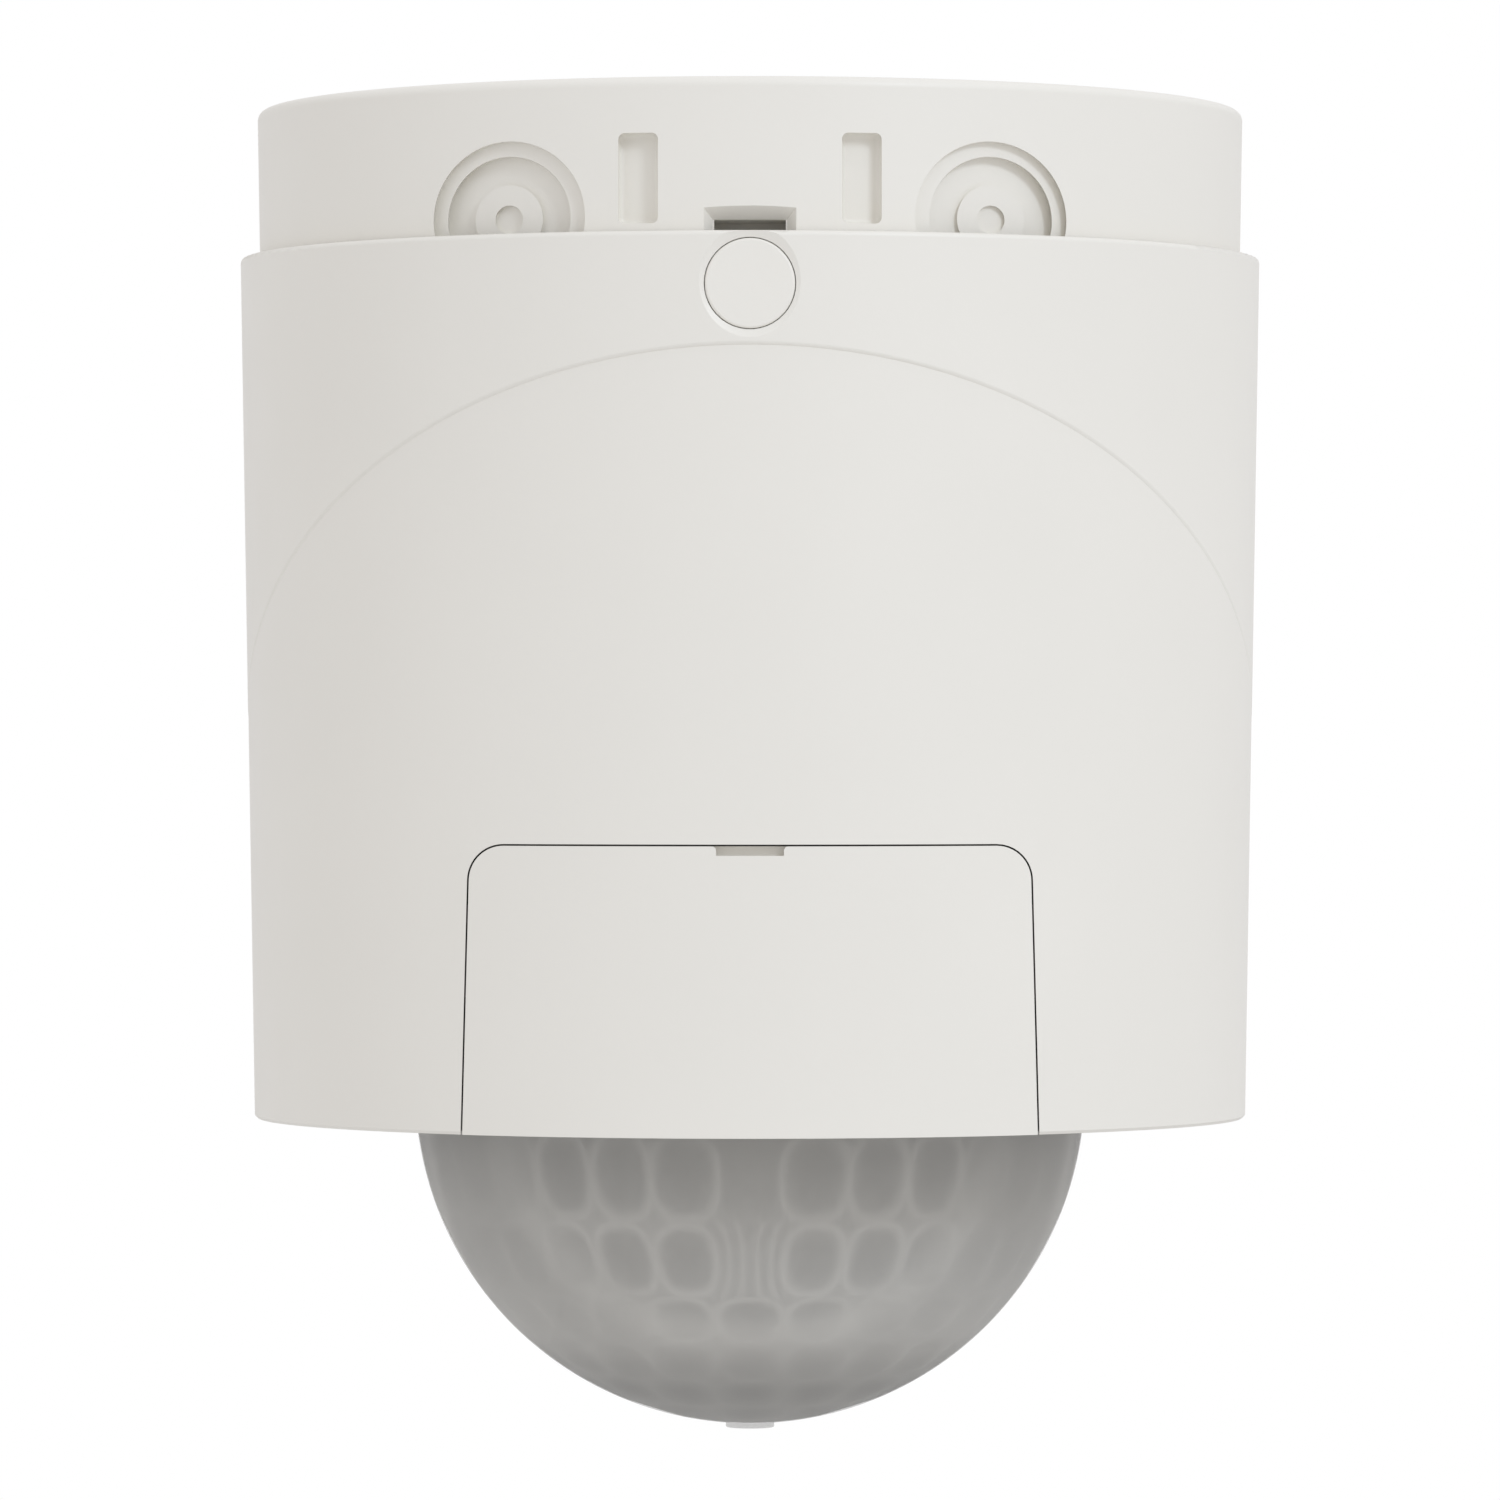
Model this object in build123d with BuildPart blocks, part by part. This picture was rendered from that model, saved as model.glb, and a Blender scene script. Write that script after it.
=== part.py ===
from build123d import *
import math
import os

# Outdoor motion sensor: a housing fixed to the wall, a plug-on front unit with a hemispherical lens dome,
# and a settings flap at the foot of the front cover.
# Frame: origin at the centre of the wall face, +X right, +Y into the wall, +Z up. Millimetres.

os.makedirs("parts", exist_ok=True)

# ---- driving dimensions --------------------------------------------------------------------------
AXIS_Y = -45.0  # vertical axis shared by the round front and the dome
DRAFT = 0.0162  # growth of the radius per mm of height

HOOD_TOP = 35.15
HOOD_BOTTOM = -51.5
HOOD_BACK = -7.0
HOOD_RADIUS_TOP = 51.5
HOOD_WALL = 1.65
EDGE_ROUND = 0.45
FOOT_CHAMFER = 0.3
CREASE_STEP = 0.2  # the field below the crease lies this much further back
CREASE_INSET = 0.02  # and this much inside the side faces
CREASE_ROUND = 0.42
CREASE_SLOPE = 0.72
CREASE_HEIGHT = -12.55  # height of the crease where the round front begins

BODY_GAP = 0.3  # between the front cover and the wall housing
BAND_TOP = 50.0
BAND_BOTTOM = 22.0
BAND_WALL = 3.2
BAND_ROOF = 2.4
TRAY_BOTTOM = -41.6
TRAY_DEPTH = 24.0
TRAY_WALL = 2.2
WALL_PLATE = 2.5
HOUSING_INSET = HOOD_WALL + BODY_GAP

FIXING_X = 34.0
FIXING_Z = (-34.0, 12.0)
FIXING_HOLE = 2.25
CABLE_Z = -26.0
CABLE_HOLE = 8.0
CABLE_BORE = 4.4

SCREW_Z = 30.1  # locking screw and its cap
CAP_RADIUS = 4.32
CAP_GAP = 0.09
CAP_FACE = -96.15
CAP_SEAT = -95.35

KNOCKOUT_X = 23.2
KNOCKOUT_Z = 36.7
KNOCKOUT_RADIUS = 7.4
WELL_RADIUS = 6.0
RING_DEPTH = 0.9
WELL_DEPTH = 2.1
WELL_BACKING = 1.1
WELL_BOSS_RADIUS = 3.3
WELL_BOSS_HEIGHT = 0.5
WELL_DIMPLE_RADIUS = 1.35
SLOT_X = 10.7
SLOT_Z = 40.27
SLOT_SIZE = (3.8, 8.65)
SLOT_DEPTH = 1.7
SLOT_FLOOR_ROUND = 0.5

FLAP_TOP = -23.6
FLAP_HALF_TOP = 27.0
FLAP_HALF_BOTTOM = 27.75
FLAP_CORNER = 3.4
FLAP_GAP = 0.17
HINGE_Y = -84.0
HINGE_Z = -48.5
PIN_RADIUS = 1.2
PIN_CLEARANCE = 0.06

DOME_Z = -48.6
DOME_RADIUS = 33.9
DOME_WALL = 1.2
FLANGE_RADIUS = 36.5
CORE_RADIUS = 22.8

PLATE_BACK = -27.4  # rear face of the chassis plate
PLATE_FRONT = -29.0
SHELF_TOP = 21.5
SHELF_WALL = 1.6
DECK_TOP = -42.2
CHASSIS_REAR = -7.1
REAR_INSIDE = -8.3
PILLARS = [(x, z) for x in (-38.0, 38.0) for z in (-30.0, 10.0)]
PILLAR_RADIUS = 3.2

BOARD_BACK = -34.4
BOARD_FRONT = -36.0
BOARD_POSTS = [(x, z) for x in (-29.0, 29.0) for z in (-36.0, 12.0)]
CONTACTS_X = (-15.0, -5.0, 5.0, 15.0)
CONTACT_Z = -6.0

BEZEL_FRONT = -84.0
BEZEL_BACK = -82.4
BEZEL_SCREWS = [(-30.5, -34.0), (30.5, -34.0)]
CONTROL_FRONT = -79.0
CONTROL_BACK = -77.4
KNOBS = {"brightness_knob": -15.0, "time_knob": 0.0, "range_knob": 15.0}
KNOB_Z = -37.0
BUTTON_SPOT = (7.5, -27.6)
LED_SPOT = (-7.5, -27.6)
LENS_SCREW_ANGLES = (20, 160, 200, 340)
LENS_SCREW_CIRCLE = 39.5
SENSOR_ANGLES = (-90, 30, 150)


# ---- shared shapes -------------------------------------------------------------------------------
def face_at(y):
    """Sketch plane at a depth, drawn as seen from the front; extrusions come forwards."""
    return Plane.XZ.offset(-y)


def hood_radius(z):
    return HOOD_RADIUS_TOP - DRAFT * (HOOD_TOP - z)


def outline(inset, z, back):
    """D-shaped plan outline at one height: round in front, straight to the back."""
    r = hood_radius(z) - inset
    with BuildSketch(Plane.XY.offset(z)) as plan:
        with BuildLine():
            Line((-r, back), (-r, AXIS_Y))
            ThreePointArc((-r, AXIS_Y), (0, AXIS_Y - r), (r, AXIS_Y))
            Line((r, AXIS_Y), (r, back))
            Line((r, back), (-r, back))
        make_face()
    return plan.sketch


def d_body(inset, bottom, top, back):
    """Drafted block with the D-shaped plan."""
    with BuildPart() as block:
        loft([outline(inset, bottom, back), outline(inset, top, back)], ruled=True)
    return block.part


def rods(spots, radius, start, end):
    """Round bars along Y at the given (x, z) spots, from one depth forwards to another."""
    with BuildPart() as bars:
        with BuildSketch(face_at(start)):
            with Locations(*spots):
                Circle(radius)
        extrude(amount=start - end)
    return bars.part


def slab(x_range, y_range, z_range):
    """Block between two corners."""
    size = [high - low for low, high in (x_range, y_range, z_range)]
    middle = [(high + low) / 2 for low, high in (x_range, y_range, z_range)]
    with BuildPart() as block:
        with Locations(Location(tuple(middle))):
            Box(*size)
    return block.part


def flap_shape(margin, bottom):
    """Flap outline grown by a margin, as a bar along Y through the front."""
    slope = (FLAP_HALF_BOTTOM - FLAP_HALF_TOP) / (FLAP_TOP - HOOD_BOTTOM)
    low = FLAP_HALF_BOTTOM + slope * (HOOD_BOTTOM - bottom) + margin
    high = FLAP_HALF_TOP - slope * margin + margin
    with BuildPart() as bar:
        with BuildSketch(face_at(-70)) as shape:
            with BuildLine():
                Polyline(
                    (-low, bottom), (-high, FLAP_TOP + margin), (high, FLAP_TOP + margin), (low, bottom),
                    close=True,
                )
            make_face()
            fillet(shape.vertices().group_by(Axis.Y)[-1], radius=FLAP_CORNER + margin)
        extrude(amount=30)
    return bar.part


def screws(spots, shank, head, start, length, head_height):
    """Slotted screws pointing forwards, heads behind the start depth."""
    with BuildPart() as group:
        add(rods(spots, shank, start, start - length))
        add(rods(spots, head, start + head_height, start))
        top = start + head_height
        for x, z in spots:
            add(slab((x - head, x + head), (top - 0.6, top), (z - 0.4, z + 0.4)), mode=Mode.SUBTRACT)
    return group.part


def save(builder, name):
    builder.part.label = name
    export_step(builder.part, f"parts/{name}.step")


def save_part(part, name):
    part.label = name
    export_step(part, f"parts/{name}.step")


# ---- wall unit -----------------------------------------------------------------------------------
FIXINGS = [(x, z) for x in (-FIXING_X, FIXING_X) for z in FIXING_Z]
BLOCK_EARS = [(-27.0, 1.0), (27.0, 1.0)]
GASKET_OUTER = (-45.0, 45.0, -39.5, 47.0)
GASKET_WIDTH = 2.0
GASKET_DEPTH = 1.0


def gasket_ring(depth):
    left, right, low, high = GASKET_OUTER
    w = GASKET_WIDTH
    with BuildPart() as ring:
        add(slab((left, right), (-depth, 0), (low, high)))
        add(slab((left + w, right - w), (-depth - 1, 1), (low + w, high - w)), mode=Mode.SUBTRACT)
        fillet(ring.edges().filter_by(Axis.Y), radius=0.9)
    return ring.part


with BuildPart() as tray:
    add(d_body(HOUSING_INSET, TRAY_BOTTOM, BAND_BOTTOM + 1, 0))
    tray_hollow = d_body(HOUSING_INSET + TRAY_WALL, TRAY_BOTTOM + 2, BAND_BOTTOM + 2, -WALL_PLATE)
    add(tray_hollow, mode=Mode.SUBTRACT)
    split(bisect_by=Plane.XZ.offset(TRAY_DEPTH), keep=Keep.BOTTOM)

with BuildPart() as slot_cutter:
    with BuildSketch(face_at(-60)):
        with Locations((-SLOT_X, SLOT_Z), (SLOT_X, SLOT_Z)):
            RectangleRounded(*SLOT_SIZE, radius=0.6)
    extrude(amount=40)
    add(d_body(HOUSING_INSET + SLOT_DEPTH, BAND_BOTTOM, BAND_TOP, 0), mode=Mode.SUBTRACT)
    fillet(slot_cutter.faces().sort_by(Axis.Y)[-2:].edges(), radius=SLOT_FLOOR_ROUND)

KNOCKOUTS = [(-KNOCKOUT_X, KNOCKOUT_Z), (KNOCKOUT_X, KNOCKOUT_Z)]


def sunk_discs(radius, depth):
    """Discs over both knock-outs that reach a given depth below the band's face."""
    with BuildPart() as discs:
        add(rods(KNOCKOUTS, radius, -60, -100))
        add(d_body(HOUSING_INSET + depth, BAND_BOTTOM - 5, BAND_TOP + 5, 0), mode=Mode.SUBTRACT)
    return discs.part


with BuildPart() as well_cutter:
    add(sunk_discs(WELL_RADIUS, WELL_DEPTH))
    add(rods(KNOCKOUTS, WELL_BOSS_RADIUS, -60, -100), mode=Mode.SUBTRACT)

with BuildPart() as well_walls:
    add(rods(KNOCKOUTS, WELL_RADIUS + 1.2, -60, -100))
    add(d_body(HOUSING_INSET + 1.5, BAND_BOTTOM, BAND_TOP, 0), mode=Mode.INTERSECT)
    behind = d_body(HOUSING_INSET + WELL_DEPTH + WELL_BACKING, BAND_BOTTOM - 5, BAND_TOP + 5, 0)
    add(behind, mode=Mode.SUBTRACT)

with BuildPart() as rear_housing:
    add(d_body(HOUSING_INSET, BAND_BOTTOM, BAND_TOP, 0))
    roof_edges = rear_housing.edges().group_by(Axis.Z)[-1].sort_by(Axis.Y)[:-1]
    fillet(roof_edges, radius=0.9)
    band_hollow = d_body(HOUSING_INSET + BAND_WALL, BAND_BOTTOM - 1, BAND_TOP - BAND_ROOF, -WALL_PLATE)
    add(band_hollow, mode=Mode.SUBTRACT)
    add(tray.part)
    add(slab((-6.6, 6.6), (-92.5, -88.1), (23.5, 39.8)))
    add(slab((-4.6, 4.6), (-89, -85.6), (32.7, 37.5)))
    add(rods([(0, SCREW_Z)], 4.2, -82.6, -90))
    with BuildSketch(face_at(-93.2)):
        with Locations((0, 34.3)):
            Rectangle(7.1, 4.0)
    with BuildSketch(face_at(-95.2)):
        with Locations((0, 34.3)):
            Rectangle(10.1, 7.7)
    loft(mode=Mode.SUBTRACT)
    add(slab((-4.1, 4.1), (-95.5, -90.6), (25.7, 34.4)), mode=Mode.SUBTRACT)
    add(slab((-3.43, 3.43), (-94, -86.8), (33.9, 36.3)), mode=Mode.SUBTRACT)
    add(rods([(0, SCREW_Z)], 2.3, -83.6, -91), mode=Mode.SUBTRACT)
    add(well_walls.part)
    add(sunk_discs(KNOCKOUT_RADIUS, RING_DEPTH), mode=Mode.SUBTRACT)
    add(sunk_discs(WELL_RADIUS, WELL_DEPTH - WELL_BOSS_HEIGHT), mode=Mode.SUBTRACT)
    add(well_cutter.part, mode=Mode.SUBTRACT)
    add(sunk_discs(WELL_DIMPLE_RADIUS, WELL_DEPTH), mode=Mode.SUBTRACT)
    add(slot_cutter.part, mode=Mode.SUBTRACT)
    add(rods(FIXINGS, FIXING_HOLE, 1, -WALL_PLATE - 1), mode=Mode.SUBTRACT)
    add(rods([(0, CABLE_Z)], CABLE_HOLE, 1, -WALL_PLATE - 1), mode=Mode.SUBTRACT)
    add(rods(BLOCK_EARS, 1.25, -0.6, -WALL_PLATE - 1), mode=Mode.SUBTRACT)
    add(gasket_ring(GASKET_DEPTH), mode=Mode.SUBTRACT)
save(rear_housing, "rear_housing")

with BuildPart() as wall_gasket:
    add(gasket_ring(GASKET_DEPTH))
save(wall_gasket, "wall_gasket")

with BuildPart() as cable_grommet:
    add(rods([(0, CABLE_Z)], CABLE_HOLE, 0, -WALL_PLATE))
    add(rods([(0, CABLE_Z)], CABLE_HOLE + 2, -WALL_PLATE, -WALL_PLATE - 1.5))
    add(rods([(0, CABLE_Z)], CABLE_HOLE - 1.5, -WALL_PLATE - 1.5, -WALL_PLATE - 4))
    fillet(cable_grommet.edges().group_by(Axis.Y)[0], radius=0.6)
    add(rods([(0, CABLE_Z)], CABLE_BORE, 1, -WALL_PLATE - 5), mode=Mode.SUBTRACT)
save(cable_grommet, "cable_grommet")

with BuildPart() as fixing_hole_seals:
    add(rods(FIXINGS, 5.0, -WALL_PLATE, -WALL_PLATE - 1.2))
    add(rods(FIXINGS, 2.6, 0, -WALL_PLATE - 2), mode=Mode.SUBTRACT)
save(fixing_hole_seals, "fixing_hole_seals")

with BuildPart() as threaded_insert:
    add(rods([(0, SCREW_Z)], 2.3, -84.0, -90.4))
    add(rods([(0, SCREW_Z)], 1.5, -83.0, -91.0), mode=Mode.SUBTRACT)
save(threaded_insert, "threaded_insert")

BLOCK_FRONT = -22.0
TERMINAL_Z = 6.5
with BuildPart() as terminal_block:
    add(slab((-22, 22), (BLOCK_FRONT, -WALL_PLATE), (-12, 13)))
    fillet(terminal_block.edges().filter_by(Axis.Y), radius=1.0)
    add(slab((-31, 31), (-5.5, -WALL_PLATE), (-3, 5)))
    fillet(terminal_block.edges().filter_by(Axis.Y).group_by(Axis.X)[0], radius=2.0)
    fillet(terminal_block.edges().filter_by(Axis.Y).group_by(Axis.X)[-1], radius=2.0)
    add(rods(BLOCK_EARS, 1.6, -1, -7), mode=Mode.SUBTRACT)
    add(rods([(x, TERMINAL_Z) for x in CONTACTS_X], 2.5, -16, -23), mode=Mode.SUBTRACT)
    for x in CONTACTS_X:
        add(slab((x - 1.2, x + 1.2), (-23, -12), (CONTACT_Z - 3.5, CONTACT_Z + 3.5)), mode=Mode.SUBTRACT)
    for gap_x in (-10.0, 0.0, 10.0):
        add(slab((gap_x - 0.5, gap_x + 0.5), (-23, -20.5), (-13, 14)), mode=Mode.SUBTRACT)
    with BuildSketch(Plane.XY.offset(14)):
        with Locations(*[(x, -9.0) for x in CONTACTS_X]):
            Circle(1.9)
    extrude(amount=-9, mode=Mode.SUBTRACT)
save(terminal_block, "terminal_block")

with BuildPart() as terminal_screws:
    with BuildSketch(face_at(-16)):
        with Locations(*[(x, TERMINAL_Z) for x in CONTACTS_X]):
            Circle(2.4)
    extrude(amount=3.5)
    for x in CONTACTS_X:
        add(slab((x - 3, x + 3), (-20, -18.6), (TERMINAL_Z - 0.35, TERMINAL_Z + 0.35)), mode=Mode.SUBTRACT)
save(terminal_screws, "terminal_screws")

with BuildPart() as socket_contacts:
    for x in CONTACTS_X:
        add(slab((x - 1.1, x + 1.1), (-21, -12.1), (CONTACT_Z - 2.8, CONTACT_Z + 2.8)))
        add(slab((x - 0.6, x + 0.6), (-22, -12.6), (CONTACT_Z - 3, CONTACT_Z + 3)), mode=Mode.SUBTRACT)
save(socket_contacts, "socket_contacts")

with BuildPart() as terminal_block_screws:
    add(rods(BLOCK_EARS, 1.2, -0.7, -5.5))
    add(rods(BLOCK_EARS, 2.8, -5.5, -7.3))
    for x, z in BLOCK_EARS:
        add(slab((x - 3, x + 3), (-8, -6.7), (z - 0.4, z + 0.4)), mode=Mode.SUBTRACT)
save(terminal_block_screws, "terminal_block_screws")

# ---- front cover ---------------------------------------------------------------------------------
CREASE_PLANE = Plane(origin=(0, AXIS_Y, CREASE_HEIGHT), x_dir=(1, 0, 0), z_dir=(0, CREASE_SLOPE, 1))

CREASE_LEVEL = Axis((0, AXIS_Y, CREASE_HEIGHT), (0, CREASE_SLOPE, 1))

with BuildPart() as upper_field:
    add(d_body(0, HOOD_BOTTOM, HOOD_TOP, HOOD_BACK))
    fillet(upper_field.edges().group_by(Axis.Z)[-1].sort_by(Axis.Y)[:-1], radius=EDGE_ROUND)
    split(bisect_by=CREASE_PLANE, keep=Keep.TOP)
    fillet(upper_field.faces().sort_by(CREASE_LEVEL)[0].edges().sort_by(Axis.Y)[:-1], radius=CREASE_ROUND)

with BuildPart() as lower_field:
    with Locations((0, CREASE_STEP, 0)):
        add(d_body(CREASE_INSET, HOOD_BOTTOM, HOOD_TOP - 2, HOOD_BACK - CREASE_STEP))
    chamfer(lower_field.edges().group_by(Axis.Z)[0].sort_by(Axis.Y)[:-1], length=FOOT_CHAMFER)

with BuildPart() as bosses:
    add(rods(PILLARS, PILLAR_RADIUS, PLATE_FRONT, -84))
    add(rods([(0, SCREW_Z)], 3.8, -90.9, -97))
    add(rods(BEZEL_SCREWS, 2.6, -78.6, -86))
    add(d_body(1.0, HOOD_BOTTOM, HOOD_TOP, HOOD_BACK), mode=Mode.INTERSECT)

with BuildPart() as front_cover:
    add(lower_field.part)
    add(upper_field.part)
    add(d_body(HOOD_WALL, HOOD_BOTTOM - 1, HOOD_TOP + 1, HOOD_BACK + 1), mode=Mode.SUBTRACT)
    add(bosses.part)
    add(flap_shape(FLAP_GAP, HOOD_BOTTOM - 2), mode=Mode.SUBTRACT)
    add(rods([(0, SCREW_Z)], CAP_RADIUS + CAP_GAP, CAP_SEAT, -98), mode=Mode.SUBTRACT)
    add(rods([(0, SCREW_Z)], 2.75, -91.6, -97), mode=Mode.SUBTRACT)
    add(rods([(0, SCREW_Z)], 1.65, -90, -93), mode=Mode.SUBTRACT)
    add(rods(PILLARS, 1.35, PLATE_FRONT, PLATE_FRONT - 12), mode=Mode.SUBTRACT)
    add(rods(BEZEL_SCREWS, 1.05, -78, -82.0), mode=Mode.SUBTRACT)
    with BuildSketch(face_at(-96.0)):
        with Locations((0, SCREW_Z)):
            Circle(CAP_RADIUS + CAP_GAP)
    with BuildSketch(face_at(-96.7)):
        with Locations((0, SCREW_Z)):
            Circle(CAP_RADIUS + 1.7)
    loft(mode=Mode.SUBTRACT)
save(front_cover, "front_cover")

# ---- screw cap and locking screw -----------------------------------------------------------------
with BuildPart() as screw_cap:
    add(rods([(0, SCREW_Z)], CAP_RADIUS, CAP_SEAT - 0.1, CAP_FACE))
    fillet(screw_cap.edges().sort_by(Axis.Y)[0], radius=0.25)
    add(rods([(0, SCREW_Z)], 2.65, -93.5, CAP_SEAT - 0.1))
    add(rods([(0, SCREW_Z)], 1.7, -93, CAP_SEAT), mode=Mode.SUBTRACT)
save(screw_cap, "screw_cap")

with BuildPart() as locking_screw:
    add(rods([(0, SCREW_Z)], 1.44, -84.4, -91.6))
    add(rods([(0, SCREW_Z)], 2.6, -91.6, -93.2))
    add(slab((-0.4, 0.4), (-94, -92.4), (SCREW_Z - 3, SCREW_Z + 3)), mode=Mode.SUBTRACT)
    add(slab((-3, 3), (-94, -92.4), (SCREW_Z - 0.4, SCREW_Z + 0.4)), mode=Mode.SUBTRACT)
save(locking_screw, "locking_screw")

# ---- chassis -------------------------------------------------------------------------------------
PLATE_BOTTOM = -43.4
FLOOR_TOP = -49.5
CHASSIS_INSET = HOOD_WALL + 0.1
LENS_SCREWS = [
    (LENS_SCREW_CIRCLE * math.cos(math.radians(a)), AXIS_Y + LENS_SCREW_CIRCLE * math.sin(math.radians(a)))
    for a in LENS_SCREW_ANGLES
]

with BuildPart() as chassis:
    with BuildSketch(Plane.YZ):
        with BuildLine():
            Polyline(
                (-97, HOOD_BOTTOM), (CHASSIS_REAR, HOOD_BOTTOM), (CHASSIS_REAR, DECK_TOP),
                (PLATE_BACK, DECK_TOP), (PLATE_BACK, SHELF_TOP), (-97, SHELF_TOP),
                (-97, SHELF_TOP - SHELF_WALL), (PLATE_FRONT, SHELF_TOP - SHELF_WALL),
                (PLATE_FRONT, PLATE_BOTTOM), (REAR_INSIDE, PLATE_BOTTOM),
                (REAR_INSIDE, FLOOR_TOP), (-97, FLOOR_TOP), close=True,
            )
        make_face()
    extrude(amount=55, both=True)
    add(d_body(CHASSIS_INSET, HOOD_BOTTOM, SHELF_TOP, CHASSIS_REAR), mode=Mode.INTERSECT)
    for side in (-1, 1):
        wall = sorted((side * 45.0, side * 43.4))
        add(slab(wall, (PLATE_FRONT, CHASSIS_REAR), (FLOOR_TOP - 0.5, DECK_TOP - 0.5)))
    with BuildSketch(Plane.XY.offset(FLOOR_TOP)):
        with Locations(*LENS_SCREWS):
            Circle(2.4)
    extrude(amount=2.2)
    with BuildSketch(Plane.XY.offset(HOOD_BOTTOM - 1)):
        with Locations((0, AXIS_Y)):
            Circle(DOME_RADIUS + 0.4)
    extrude(amount=5, mode=Mode.SUBTRACT)
    with BuildSketch(Plane.XY.offset(FLOOR_TOP + 2.6)):
        with Locations(*LENS_SCREWS):
            Circle(1.0)
    extrude(amount=-4, mode=Mode.SUBTRACT)
    add(slab((-28.4, 28.4), (-100, -81), (HOOD_BOTTOM - 1, -40)), mode=Mode.SUBTRACT)
    for side in (-1, 1):
        notch = sorted((side * 19.5, side * 28.4))
        add(slab(notch, (-100, -78), (HOOD_BOTTOM - 1, -40)), mode=Mode.SUBTRACT)
    add(slab((-19, 19), (-30, -26), (-10.5, -1.5)), mode=Mode.SUBTRACT)
    add(rods(PILLARS, 1.6, -26, -30), mode=Mode.SUBTRACT)
    add(rods(BOARD_POSTS, 3.0, PLATE_FRONT, BOARD_BACK))
    add(rods(BOARD_POSTS, 1.25, PLATE_FRONT - 0.5, BOARD_BACK - 1), mode=Mode.SUBTRACT)
save(chassis, "chassis")

save_part(screws(PILLARS, 1.3, 2.8, PLATE_BACK, 12.5, 1.8), "chassis_screws")

# ---- lens dome and its clamp ---------------------------------------------------------------------
FLANGE_BOTTOM = -48.9
FLANGE_TOP = -47.3
RING_TOP = -45.0

with BuildPart() as lens_dome:
    with BuildSketch(Plane.YZ):
        with BuildLine():
            CenterArc((AXIS_Y, DOME_Z), DOME_RADIUS, 270, 90)
            Polyline(
                (AXIS_Y + DOME_RADIUS, DOME_Z), (AXIS_Y + DOME_RADIUS, FLANGE_TOP),
                (AXIS_Y + DOME_RADIUS - DOME_WALL, FLANGE_TOP), (AXIS_Y + DOME_RADIUS - DOME_WALL, DOME_Z)
            )
            CenterArc((AXIS_Y, DOME_Z), DOME_RADIUS - DOME_WALL, 270, 90)
            Line((AXIS_Y, DOME_Z - DOME_RADIUS + DOME_WALL), (AXIS_Y, DOME_Z - DOME_RADIUS))
        make_face()
    revolve(axis=Axis((0, AXIS_Y, 0), (0, 0, 1)))
    with BuildSketch(Plane.XY.offset(FLANGE_BOTTOM)):
        with Locations((0, AXIS_Y)):
            Circle(FLANGE_RADIUS)
            Circle(DOME_RADIUS - 0.4, mode=Mode.SUBTRACT)
    extrude(amount=FLANGE_TOP - FLANGE_BOTTOM)
    with BuildSketch(Plane.XY.offset(DOME_Z - DOME_RADIUS - 0.45)):
        with Locations((0, AXIS_Y)):
            Circle(2.45)
    extrude(amount=1.0)
save(lens_dome, "lens_dome")


def flat_ring(outer, inner, bottom, top):
    with BuildPart() as ring:
        with BuildSketch(Plane.XY.offset(bottom)):
            with Locations((0, AXIS_Y)):
                Circle(outer)
                Circle(inner, mode=Mode.SUBTRACT)
        extrude(amount=top - bottom)
    return ring.part


save_part(flat_ring(FLANGE_RADIUS - 0.2, DOME_RADIUS + 0.5, FLOOR_TOP, FLANGE_BOTTOM), "dome_seal")

with BuildPart() as lens_ring:
    add(flat_ring(FLANGE_RADIUS, 29.5, FLANGE_TOP, FLANGE_TOP + 0.6))
    add(flat_ring(FLANGE_RADIUS, 31.0, FLANGE_TOP + 0.6, RING_TOP))
    with BuildSketch(Plane.XY.offset(FLANGE_TOP)):
        with Locations(*LENS_SCREWS):
            Circle(2.6)
    extrude(amount=1.2)
    with BuildSketch(Plane.XY.offset(FLANGE_TOP - 1)):
        with Locations(*LENS_SCREWS):
            Circle(1.2)
    extrude(amount=3, mode=Mode.SUBTRACT)
save(lens_ring, "lens_ring")

with BuildPart() as lens_ring_screws:
    with BuildSketch(Plane.XY.offset(FLANGE_TOP + 1.2)):
        with Locations(*LENS_SCREWS):
            Circle(2.0)
    extrude(amount=1.2)
    with BuildSketch(Plane.XY.offset(FLANGE_TOP + 1.2)):
        with Locations(*LENS_SCREWS):
            Circle(0.95)
    extrude(amount=-3.6)
    with BuildSketch(Plane.XY.offset(FLANGE_TOP + 2.5)):
        with Locations(*LENS_SCREWS):
            Rectangle(5, 0.6)
    extrude(amount=-0.7, mode=Mode.SUBTRACT)
save(lens_ring_screws, "lens_ring_screws")

# ---- sensors above and inside the dome -----------------------------------------------------------
SENSOR_TILT = 27.0
SENSOR_BOARD_BOTTOM = FLANGE_TOP + 0.6


def sensor_plane(angle):
    """Plane at the dome's centre that faces the way one sensor looks."""
    a = math.radians(angle)
    t = math.radians(SENSOR_TILT)
    look = (math.cos(a) * math.cos(t), math.sin(a) * math.cos(t), -math.sin(t))
    return Plane(origin=(0, AXIS_Y, DOME_Z), z_dir=look)


def sensor_discs(radius, start, length):
    with BuildPart() as discs:
        for angle in SENSOR_ANGLES:
            with BuildSketch(sensor_plane(angle).offset(start)):
                Circle(radius)
            extrude(amount=length)
    return discs.part


with BuildPart() as sensor_board:
    add(flat_ring(30.8, 1.5, SENSOR_BOARD_BOTTOM, SENSOR_BOARD_BOTTOM + 1.6))
save(sensor_board, "sensor_board")

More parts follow.
